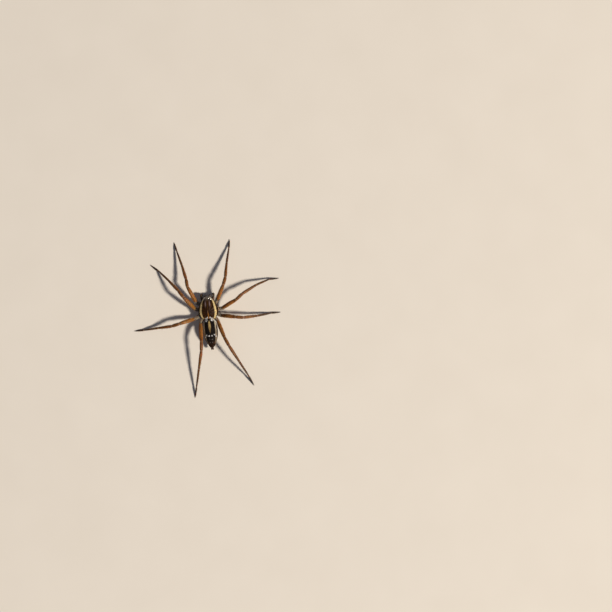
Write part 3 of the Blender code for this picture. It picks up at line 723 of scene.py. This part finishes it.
# Lengths of femur, patella, tibia, metatarsus and tarsus, by pair
PODOMERES = {
    1: (5.9, 2.4, 4.9, 5.0, 2.6),
    2: (6.2, 2.45, 5.1, 5.2, 2.75),
    3: (5.7, 2.3, 4.7, 4.8, 2.5),
    4: (6.8, 2.75, 5.65, 5.85, 3.05),
}
# Where each coxa leaves the sternum, by pair, and where each trochanter ends: out, aft, height
COXA_ROOTS = {1: (1.3, -1.35, 2.0), 2: (1.5, -0.3, 1.95), 3: (1.5, 0.9, 1.95), 4: (1.2, 2.0, 2.0)}
HIPS = {
    (1, "right"): (2.75, -2.35, 2.1), (1, "left"): (3.4, -2.2, 2.1),
    (2, "right"): (3.95, 0.08, 2.1), (2, "left"): (3.75, -0.15, 2.1),
    (3, "right"): (3.6, 2.12, 2.1), (3, "left"): (4.05, 2.4, 2.1),
    (4, "right"): (2.4, 3.35, 2.4), (4, "left"): (2.65, 3.65, 2.4),
}
# Height of each joint from the knee to the ankle, and headings of the podomeres in degrees
# from straight ahead
POSE = {
    (1, "right"): ((5.3, 4.7, 2.7, 1.0), (29, 19, 8, 12, 8)),
    (2, "right"): ((5.6, 5.4, 4.2, 1.2), (67, 50, 61, 67, 87)),
    (3, "right"): ((5.5, 5.3, 2.9, 0.6), (104, 99, 85, 81, 89)),
    (4, "right"): ((5.6, 5.8, 4.5, 1.4), (162, 156, 152, 152, 156)),
    (1, "left"): ((4.7, 4.0, 2.5, 0.9), (24, 6, 13, 16, 13)),
    (2, "left"): ((5.8, 5.3, 3.1, 0.6), (40, 32, 39, 41, 49)),
    (3, "left"): ((4.8, 4.2, 2.1, 0.6), (106, 102, 90, 92, 90)),
    (4, "left"): ((5.7, 5.4, 3.5, 1.2), (180, 175, 166, 166, 167)),
}
SIDES = {"left": 1.0, "right": -1.0}
TOE_TIP_HEIGHT = 0.13
FEMUR_BOW = 0.4
CORNER_LENGTH = 1.2
# Stops of the radius: podomere from the coxa, share of its length, radius
LEG_RADII = (
    (0, 0.0, 0.42), (0, 0.45, 0.5), (0, 0.8, 0.5), (0, 1.0, 0.46),
    (1, 0.12, 0.52), (1, 0.4, 0.6), (1, 0.75, 0.56), (1, 1.0, 0.46),
    (2, 0.35, 0.5), (2, 0.85, 0.47), (2, 1.0, 0.42),
    (3, 0.18, 0.47), (3, 0.6, 0.42), (3, 1.0, 0.34),
    (4, 0.12, 0.34), (4, 0.7, 0.28), (4, 1.0, 0.23),
    (5, 0.15, 0.26), (5, 0.7, 0.21), (5, 1.0, 0.15),
)
TROCHANTER_LENGTH = 0.65
# How far each leg's skin runs on into the chest
ROOT_SINK = 0.55


def joint_shares(joints):
    """Share of a limb's length at which each of its joints lies."""
    steps = np.linalg.norm(np.diff(joints, axis=0), axis=1)
    return np.concatenate([[0], np.cumsum(steps)]) / np.sum(steps)


def limb_line(joints, corner, count):
    """Points along straight podomeres, each corner rounded by averaging over a length."""
    joints = np.array(joints)
    steps = np.linalg.norm(np.diff(joints, axis=0), axis=1)
    places = np.concatenate([[0], np.cumsum(steps)])
    s = np.linspace(0, places[-1], count)
    reach = np.minimum(1.0, 2 * np.minimum(s, places[-1] - s) / corner)
    at = s[:, None] + np.linspace(-0.5, 0.5, 9) * corner * reach[:, None]
    return together(*[np.interp(at, places, joints[:, k]).mean(axis=1) for k in range(3)])


def leg_joints(pair, side):
    """The seven joints of a leg, from the coxa's root to the tip of the tarsus."""
    heights, headings = POSE[(pair, side)]
    places = [np.array(COXA_ROOTS[pair]), np.array(HIPS[(pair, side)])]
    for length, heading, height in zip(PODOMERES[pair], headings, heights + (TOE_TIP_HEIGHT,)):
        last = places[-1]
        run = sqrt(length * length - (height - last[2]) ** 2)
        angle = radians(heading)
        out, aft = last[0] + run * sin(angle), last[1] - run * cos(angle)
        places.append(np.array([out, aft, height]))
    return [place * (SIDES[side], 1, 1) for place in places]


def leg_name(pair, side):
    """What the names of a leg's nodes and pieces begin with."""
    return "leg_" + str(pair) + "_" + side


def end_cap(share):
    """Factor that closes a tube as a quarter circle while share goes from nought to one."""
    return np.sqrt(np.clip(1 - held(share) ** 2, 0.01, 1))


def soft_joints(shares, total):
    """Shares of a leg's length at which soft skin shows: its joints and the trochanter's end."""
    return np.append(shares[1:-1], shares[1] + TROCHANTER_LENGTH / total)


def leg_skin(pair, side, rows, turns):
    """Rings of a whole leg, with the share of its length at each ring and at each joint.

    The radius follows the stops of each podomere, and each joint is a narrow waist between
    two low collars. The tip closes as a quarter circle, and what would pass the floor is flat.
    """
    joints = leg_joints(pair, side)
    shares = joint_shares(joints)
    line = limb_line(joints, CORNER_LENGTH, rows)
    t = np.linspace(0, 1, rows)
    bow = held((t - shares[1]) / (shares[2] - shares[1]))
    line[:, 2] += FEMUR_BOW * np.sin(pi * bow) ** 2
    stops = [(shares[n] + share * (shares[n + 1] - shares[n]), radius)
             for n, share, radius in LEG_RADII]
    total = np.sum(np.linalg.norm(np.diff(line, axis=0), axis=1))
    radii = curve(stops, t)
    for share in soft_joints(shares, total):
        distance = (t - share) * total
        radii = radii * (1 - 0.14 * bell(distance, 0.12) + 0.04 * bell(np.abs(distance) - 0.28, 0.12))
    radii = radii * end_cap(1 - (1 - t) * total / 0.3)
    rings = tube_rings(line, radii, turns, flat=0.96)
    rings[..., 2] = np.maximum(rings[..., 2], 0.0)
    return rings, t, shares, total


# Stops of the colour: podomere from the coxa, share of its length, colour
LEG_COLOURS = (
    (0, 0.0, (0.11, 0.075, 0.05)), (0, 0.14, (0.38, 0.29, 0.2)), (1, 0.03, (0.4, 0.3, 0.2)),
    (1, 0.1, (0.34, 0.145, 0.032)), (1, 0.6, (0.36, 0.15, 0.03)), (1, 0.95, (0.26, 0.1, 0.02)),
    (2, 0.5, (0.22, 0.085, 0.02)), (3, 0.15, (0.26, 0.105, 0.028)), (3, 0.8, (0.17, 0.07, 0.018)),
    (4, 0.2, (0.14, 0.068, 0.026)), (4, 0.9, (0.062, 0.034, 0.017)),
    (5, 0.5, (0.05, 0.03, 0.017)), (5, 1.0, (0.04, 0.025, 0.016)),
)
JOINT_DARK = (0.05, 0.025, 0.014)
JOINT_PALE = (0.34, 0.22, 0.12)


def leg_colours(rings, t, shares, total):
    """Orange femur to dark foot, freckled, paler beneath, with dark rings and pale joint skin."""
    at = [shares[n] + share * (shares[n + 1] - shares[n]) for n, share, _ in LEG_COLOURS]
    stops = np.array([colour for _, _, colour in LEG_COLOURS])
    base = together(*[np.interp(t, at, stops[:, k]) for k in range(3)])
    angle = np.linspace(0, 2 * pi, rings.shape[1], endpoint=False)
    rise = np.sin(angle)
    shade = 1 - 0.16 * held(rise) + 0.3 * held(-rise) + 0.22 * bell(np.abs(rise) - 0.35, 0.2)
    along = (t * total)[:, None]
    freckles = np.sin(5.1 * along + 2 * np.sin(3 * angle)) * np.cos(3 * angle + 1.7 * along)
    tint = base[:, None] * (shade * (1 - 0.6 * held(freckles - 0.3)))[..., None]
    for share in shares[1:-1]:
        distance = ((t - share) * total)[:, None]
        tint = blend(tint, JOINT_DARK, 0.45 * bell(np.abs(distance) - 0.38, 0.2))
        tint = blend(tint, JOINT_PALE, 0.7 * bell(distance, 0.09))
    return tint


leg_finish = body_finish("leg_cuticle", 0.45, 0.22, 0.02, 0.25)
set_inputs(leg_finish.node_tree.nodes["Principled BSDF"], {
    "Subsurface Weight": 0.8,
    "Subsurface Radius": (1.0, 0.4, 0.12),
    "Subsurface Scale": 1.4 * MM,
})
legs = {}
for pair in PODOMERES:
    for side in SIDES:
        name = leg_name(pair, side)
        leg_rings, leg_t, leg_shares, leg_total = leg_skin(pair, side, LEG_ROWS, LEG_TURNS)
        leg_tint = leg_colours(leg_rings, leg_t, leg_shares, leg_total)
        legs[(pair, side)] = (leg_rings, leg_t, leg_shares, leg_tint)
        inward = unit(leg_rings[0].mean(axis=0) - leg_rings[8].mean(axis=0))
        sunk_rings = np.concatenate([leg_rings[:1] + ROOT_SINK * inward, leg_rings])
        sunk_tint = np.concatenate([leg_tint[:1], leg_tint])
        leg = closed_skin(name + "_skin", sunk_rings, sunk_tint, leg_finish)
        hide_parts(*[name + "_" + length for length in ("coxa", "femur", "tibia", "foot")])
        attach(leg, "root")


# Hair and spines of the legs
# Fine hair covers every podomere, lying towards the foot and paler at the root of the leg. Long
# dark spines stand out in rows, three round each femur and pairs under each tibia and metatarsus.
LEG_TUFTS = 7500
ROOT_TUFTS = 900
ROOT_CREAM = (0.5, 0.4, 0.29)
SPINE_BROWN = (0.045, 0.024, 0.014)
# Podomere from the coxa, shares of its length, degrees round it from its side, spine length
LEG_SPINES = (
    (1, (0.32, 0.58, 0.82), (90, 30, 150), 0.75), (2, (0.55,), (15, 165), 0.5),
    (3, (0.15, 0.4, 0.65, 0.9), (235, 305), 1.15), (3, (0.3, 0.7), (5, 175), 0.8),
    (4, (0.12, 0.4, 0.7), (235, 305), 1.05), (4, (0.5,), (5, 175), 0.7),
)
for (pair, side), (leg_rings, leg_t, leg_shares, leg_tint) in legs.items():
    name = leg_name(pair, side)
    seed = 100 + 10 * pair + (side == "left")
    thickness = np.linalg.norm(leg_rings[:, 0] - leg_rings.mean(axis=1), axis=-1)[:, None]
    leg_weight = 0.35 + 0.65 * np.clip(0.5 / np.maximum(thickness, 0.1), 0, 2)
    leg_roots = roots_on(leg_rings, leg_tint, LEG_TUFTS, leg_weight, seed)
    far = (leg_roots["spot"][:, 1] - 0.02) / 0.96
    grizzle = 0.75 + 0.35 * np.random.default_rng(seed).random((LEG_TUFTS, 1))
    leg_roots["tint"] = leg_roots["tint"] * grizzle
    leg_hair = fur(name + "_hair", leg_roots, leg_roots["along"], 0.32 - 0.16 * far,
                   0.0095 - 0.003 * far, radians(30), seed + 1, bend=0.6)
    root_weight = held((leg_shares[1] + 0.03 - leg_t) / 0.02)[:, None]
    root_roots = roots_on(leg_rings, leg_tint, ROOT_TUFTS, root_weight, seed + 3)
    grizzle = np.random.default_rng(seed).choice((0.2, 1.0), (ROOT_TUFTS, 1))
    root_roots["tint"] = np.array([ROOT_CREAM]) * grizzle
    root_hair = fur(name + "_root_hair", root_roots, root_roots["along"],
                    0.55, 0.012, radians(34), seed + 4, scatter=0.5)
    spots = []
    for podomere, shares, angles, length in LEG_SPINES:
        start, end = leg_shares[podomere:podomere + 2]
        for share in shares:
            row = int((start + share * (end - start)) * (LEG_ROWS - 1))
            spots += [(row, int(angle / 360 * LEG_TURNS), length) for angle in angles]
    rows, turns, reach = np.array(spots).T
    place = (rows.astype(int), turns.astype(int), 0 * reach, 0 * reach)
    spine_roots = roots_at(leg_rings, leg_tint, place)
    spine_roots["tint"] = np.array([SPINE_BROWN])
    spines = fur(name + "_spines", spine_roots, spine_roots["along"],
                 reach, 0.03, radians(46), seed + 2, bend=0.35, scatter=0.08)
    for piece in (leg_hair, root_hair, spines):
        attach(piece, "root")


# Claws
# Two curved claws of dark, shining cuticle stand side by side at the end of each foot, with
# their roots sunk in the tarsus and their points turned down to the floor.
CLAW_BROWN = (0.035, 0.018, 0.012)
# Where the two claws of a foot lie on the unwrap
CLAW_PLACES = np.array([[0.3, 0.5], [0.7, 0.5]])
claw_finish = body_finish("claw_cuticle", 0.25, 0.1, 0.004, 0.6)
claw_t = np.linspace(0, 1, 14)
claw_radii = 0.055 * (1 - claw_t) ** 0.7 + 0.006
for pair, side in legs:
    joints = leg_joints(pair, side)
    ahead = unit((joints[6] - joints[5]) * (1, 1, 0))
    aside = np.array([-ahead[1], ahead[0], 0.0])
    claw_rings = []
    for spread in (-1, 1):
        sweep = ahead * (0.6 * claw_t - 0.14)[:, None]
        sweep = sweep + aside * (spread * (0.06 + 0.05 * claw_t))[:, None]
        sweep[:, 2] = 0.15 * np.sin(pi * claw_t) ** 0.8 - 0.06 * claw_t
        claw_rings.append(tube_rings(joints[6] + sweep, claw_radii, 10))
    claw_rings = np.maximum(claw_rings, [-1e3, -1e3, 0.004])
    claws = closed_skin(leg_name(pair, side) + "_claws", claw_rings, CLAW_BROWN, claw_finish,
                        CLAW_PLACES)
    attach(claws, "root")


# Jaws and fangs
# Two stout chelicerae of dark brown cuticle hang side by side from the face, and each folds a
# smooth, curved, near-black fang in under its end.
JAW_OUT = 0.7
JAW_HALF_WIDTH = 0.54
JAW_BACK = -3.45
JAW_BULGE = 0.55
JAW_TOP = 3.05
JAW_BOTTOM = 0.92
JAW_SWELL = ((0, 0.75), (0.25, 0.98), (0.5, 1), (0.8, 0.88), (0.93, 0.68), (1, 0.5))
JAW_ROWS = 70
JAW_BROWN = (0.075, 0.032, 0.017)
JAW_DARK = (0.025, 0.011, 0.007)
FANG_DARK = (0.022, 0.007, 0.004)
fang_finish = body_finish("fang_cuticle", 0.16, 0.3, 0.002, 0.7)
jaws = {}
for side, sign in SIDES.items():
    t = np.linspace(0, 1, JAW_ROWS)
    jaw_path = together(
        sign * (JAW_OUT - 0.05 * (1 - t)),
        JAW_BACK - JAW_BULGE * np.sin(0.6 * pi * t),
        JAW_TOP - (JAW_TOP - JAW_BOTTOM) * t,
    )
    jaw_radii = JAW_HALF_WIDTH * curve(JAW_SWELL, t) * end_cap((t - 0.9) / 0.1)
    jaws[side] = tube_rings(jaw_path, jaw_radii, 48, hint=(0, 1, 0))
    jaw_tint = blend(JAW_BROWN, JAW_DARK, t)[:, None]
    jaw = closed_skin("chelicera_" + side + "_skin", jaws[side], jaw_tint, chest_finish)
    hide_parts("chelicera_" + side)
    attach(jaw, "root")
    bend = np.linspace(0, 1, 30)
    fang_path = together(
        sign * curve(((0, 0.9), (0.3, 0.74), (0.7, 0.44), (1, 0.2)), bend),
        curve(((0, -3.98), (0.3, -3.88), (0.7, -3.7), (1, -3.55)), bend),
        curve(((0, 0.76), (0.3, 0.5), (0.7, 0.45), (1, 0.56)), bend),
    )
    fang_rings = tube_rings(fang_path, 0.15 * (1 - bend) ** 0.55 + 0.008, 20)
    fang = closed_skin("fang_" + side + "_skin", fang_rings, FANG_DARK, fang_finish)
    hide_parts("fang_" + side)
    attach(fang, "root")


# Palps
# A pair of short feelers, built like small legs, reaches forward beside the jaws and bends
# down towards the floor. A flat chewing lobe at each root flanks the lip under the mouth.
PALP_JOINTS = (
    (0.7, -2.05, 1.7), (1.45, -2.7, 1.85), (1.85, -3.75, 2.6), (1.88, -4.3, 2.45),
    (1.78, -4.6, 1.65), (1.6, -4.65, 0.55),
)
PALP_RADII = (
    (0, 0.34), (0.18, 0.38), (0.3, 0.36), (0.45, 0.31), (0.6, 0.31), (0.75, 0.3), (0.88, 0.33),
    (1, 0.2),
)
PALP_ROWS = 150
PALP_BROWN = (0.15, 0.085, 0.04)
PALP_DARK = (0.07, 0.042, 0.028)
LOBE_RADIUS = 0.28
LOBE_TAN = (0.24, 0.13, 0.06)
LIP_BROWN = (0.09, 0.045, 0.022)
palps = {}
for side, sign in SIDES.items():
    joints = [np.array([sign * out, y, z]) for out, y, z in PALP_JOINTS]
    shares = joint_shares(joints)
    palp_line = limb_line(joints, 0.6, PALP_ROWS)
    t = np.linspace(0, 1, PALP_ROWS)
    total = np.sum(np.linalg.norm(np.diff(palp_line, axis=0), axis=1))
    palp_radii = curve(PALP_RADII, t)
    for share in shares[1:-1]:
        palp_radii = palp_radii * (1 - 0.2 * bell((t - share) * total, 0.09))
    palp_radii = palp_radii * end_cap(1 - (1 - t) * total / 0.3)
    palps[side] = tube_rings(palp_line, palp_radii, 30)
    palp_tint = blend(PALP_BROWN, PALP_DARK, held(t * 1.6 - 0.6))[:, None]
    palp = closed_skin("palp_" + side + "_skin", palps[side], palp_tint, leg_finish)
    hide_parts("palp_inner_" + side, "palp_outer_" + side)
    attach(palp, "root")
    lobe_t = np.linspace(-0.99, 0.99, 26)
    lobe_out = sign * (0.84 - 0.12 * lobe_t)
    lobe_path = together(lobe_out, -2.35 - 0.56 * lobe_t, 1.5)
    lobe_rings = tube_rings(lobe_path, LOBE_RADIUS * np.sqrt(1 - lobe_t ** 2), 24)
    lobe = closed_skin("maxilla_" + side, lobe_rings, LOBE_TAN, leg_finish)
    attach(lobe, "root")
lip_t = np.linspace(-0.99, 0.99, 24)
lip_path = together(0, -2.2 + 0.5 * lip_t, 1.62)
lip_rings = tube_rings(lip_path, LOBE_RADIUS * np.sqrt(1 - lip_t ** 2), 24, flat=1.15)
lip = closed_skin("labium", lip_rings, LIP_BROWN, leg_finish)
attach(lip, "root")


# Hair of the jaws and palps
# The jaws carry coarse grey-brown hair that hangs down over them, and the palps a fine fur like
# that of the legs, each tuft rooted in the cuticle.
JAW_TUFTS = 1500
PALP_TUFTS = 2200
JAW_HAIR_COLOURS = ((0.3, 0.26, 0.23), (0.06, 0.04, 0.03))
PALP_HAIR_COLOURS = ((0.17, 0.12, 0.08), (0.08, 0.055, 0.04))
jaw_tint = blend(*JAW_HAIR_COLOURS, np.linspace(0, 1, JAW_ROWS) ** 0.6)[:, None]
palp_tint = blend(*PALP_HAIR_COLOURS, np.linspace(0, 1, PALP_ROWS))[:, None]
for number, side in enumerate(SIDES):
    jaw_roots = roots_on(jaws[side], jaw_tint, JAW_TUFTS, 1, 200 + number)
    jaw_hair = fur("chelicera_" + side + "_hair", jaw_roots, jaw_roots["along"],
                   0.3, 0.011, radians(24), 210 + number)
    palp_roots = roots_on(palps[side], palp_tint, PALP_TUFTS, 1, 220 + number)
    palp_hair = fur("palp_" + side + "_hair", palp_roots, palp_roots["along"],
                    0.26, 0.01, radians(32), 230 + number)
    for piece, slot in ((jaw_hair, "carapace"), (palp_hair, "leg_upper")):
        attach(piece, "root")


# Eyes
# Eight simple eyes, four small ones across the face and four larger on top of the head in a
# strongly curved row. Each is a clear, wet-looking lens over black, set in a raised socket.
EYE_BLACK = (0.012, 0.008, 0.007)
eye_finish = body_finish("eye_lens", 0.14, 0.3, 0.0005, 0.8)
eye_shader = eye_finish.node_tree.nodes["Principled BSDF"]
set_inputs(eye_shader, {"Coat Weight": 1.0, "Coat Roughness": 0.03})
for side, sign in SIDES.items():
    for eye_name, out, y, z, radius in EYES:
        turn = np.linspace(0.04, pi - 0.04, 26)
        middle = np.array([sign * out, y, z])
        ball_path = middle - (0, 1, 0) * (radius * np.cos(turn))[:, None]
        ball_rings = tube_rings(ball_path, radius * np.sin(turn), 32)
        eye = closed_skin("eye_" + eye_name + "_" + side + "_lens", ball_rings, EYE_BLACK, eye_finish)
        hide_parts("eye_" + eye_name + "_" + side)
        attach(eye, "root")


# Floor, lights and camera
# A plain pale floor under two lamps, the main one towards the lower right of the picture, and a
# camera that looks almost straight down and keeps the spider left of the middle.
PIXEL = 0.3
CAMERA_DISTANCE = 433.0
CAMERA_LENS = 85.0
CAMERA_LEAN = radians(5.0)
BODY_TURN = radians(5.0)
PICTURE_RIGHT = np.array([-cos(BODY_TURN), sin(BODY_TURN), 0.0])
PICTURE_DOWN = np.array([sin(BODY_TURN), cos(BODY_TURN), 0.0])
AIM_RIGHT = 96.93 * PIXEL
AIM_DOWN = -4.0 * PIXEL
FLOOR_HALF = 2500.0 * MM
FLOOR_TONES = ((0.66, 0.6, 0.52, 1), (0.7, 0.64, 0.56, 1))
SKY_COLOUR = (0.74, 0.79, 1.0, 1)
SKY_STRENGTH = 0.17
# Lamps: name, place to the right, down and towards the viewer, size, watts, colour
LAMPS = (
    ("key_lamp", 1840, 760, 2080, 320, 112.0, (1.0, 0.94, 0.85)),
    ("fill_lamp", -420, -260, 420, 420, 0.08, (0.8, 0.88, 1.0)),
)

floor_mesh = bpy.data.meshes.new("floor")
corners = [(x * FLOOR_HALF, y * FLOOR_HALF, 0.0) for x, y in ((-1, -1), (1, -1), (1, 1), (-1, 1))]
floor_mesh.from_pydata(corners, [], [(0, 1, 2, 3)])
floor = add_object("floor", floor_mesh)
paper = bpy.data.materials.new("pale_paper")
paper.use_nodes = True
paper_nodes = paper.node_tree.nodes
paper_shader = paper_nodes["Principled BSDF"]
set_inputs(paper_shader, {"Roughness": 0.85})
paper_place = paper_nodes.new("ShaderNodeTexCoord")
paper_noise = paper_nodes.new("ShaderNodeTexNoise")
set_inputs(paper_noise, {"Scale": 60.0})
paper_ramp = paper_nodes.new("ShaderNodeValToRGB")
paper_ramp.color_ramp.elements[0].color, paper_ramp.color_ramp.elements[1].color = FLOOR_TONES
link_nodes(paper, (
    (paper_place, "Object", paper_noise, "Vector"), (paper_noise, "Fac", paper_ramp, "Fac"),
    (paper_ramp, "Color", paper_shader, "Base Color"),
))
floor_mesh.materials.append(paper)


def face_towards(place, target, right):
    """World matrix at place, in metres, whose -Z looks at target and whose X is nearly right."""
    back = unit(place - target)
    upward = unit(np.cross(back, right))
    right = np.cross(upward, back)
    columns = np.eye(4)
    columns[:3, 0], columns[:3, 1], columns[:3, 2], columns[:3, 3] = right, upward, back, place * MM
    return Matrix(columns.tolist())


for name, right, down, up, size, watts, colour in LAMPS:
    lamp = bpy.data.lights.new(name, "AREA")
    lamp.size = size * MM
    lamp.energy = watts
    lamp.color = colour
    place = body_place + (right * PICTURE_RIGHT + down * PICTURE_DOWN + np.array([0, 0, up]))
    add_object(name, lamp).matrix_world = face_towards(place, body_place, PICTURE_RIGHT)

world = bpy.data.worlds.new("studio")
world.use_nodes = True
set_inputs(world.node_tree.nodes["Background"], {"Color": SKY_COLOUR, "Strength": SKY_STRENGTH})
bpy.context.scene.world = world
bpy.context.scene.view_settings.view_transform = "Standard"

lens = bpy.data.cameras.new("camera")
lens.lens = CAMERA_LENS
lens.sensor_width = 36.0
lens.clip_start = 0.01
camera = add_object("camera", lens)
aim = body_place + AIM_RIGHT * PICTURE_RIGHT + AIM_DOWN * PICTURE_DOWN
aside = cos(CAMERA_LEAN) * np.array([0, 0, 1.0]) + sin(CAMERA_LEAN) * PICTURE_DOWN
camera.matrix_world = face_towards(aim + CAMERA_DISTANCE * aside, aim, PICTURE_RIGHT)
bpy.context.scene.camera = camera
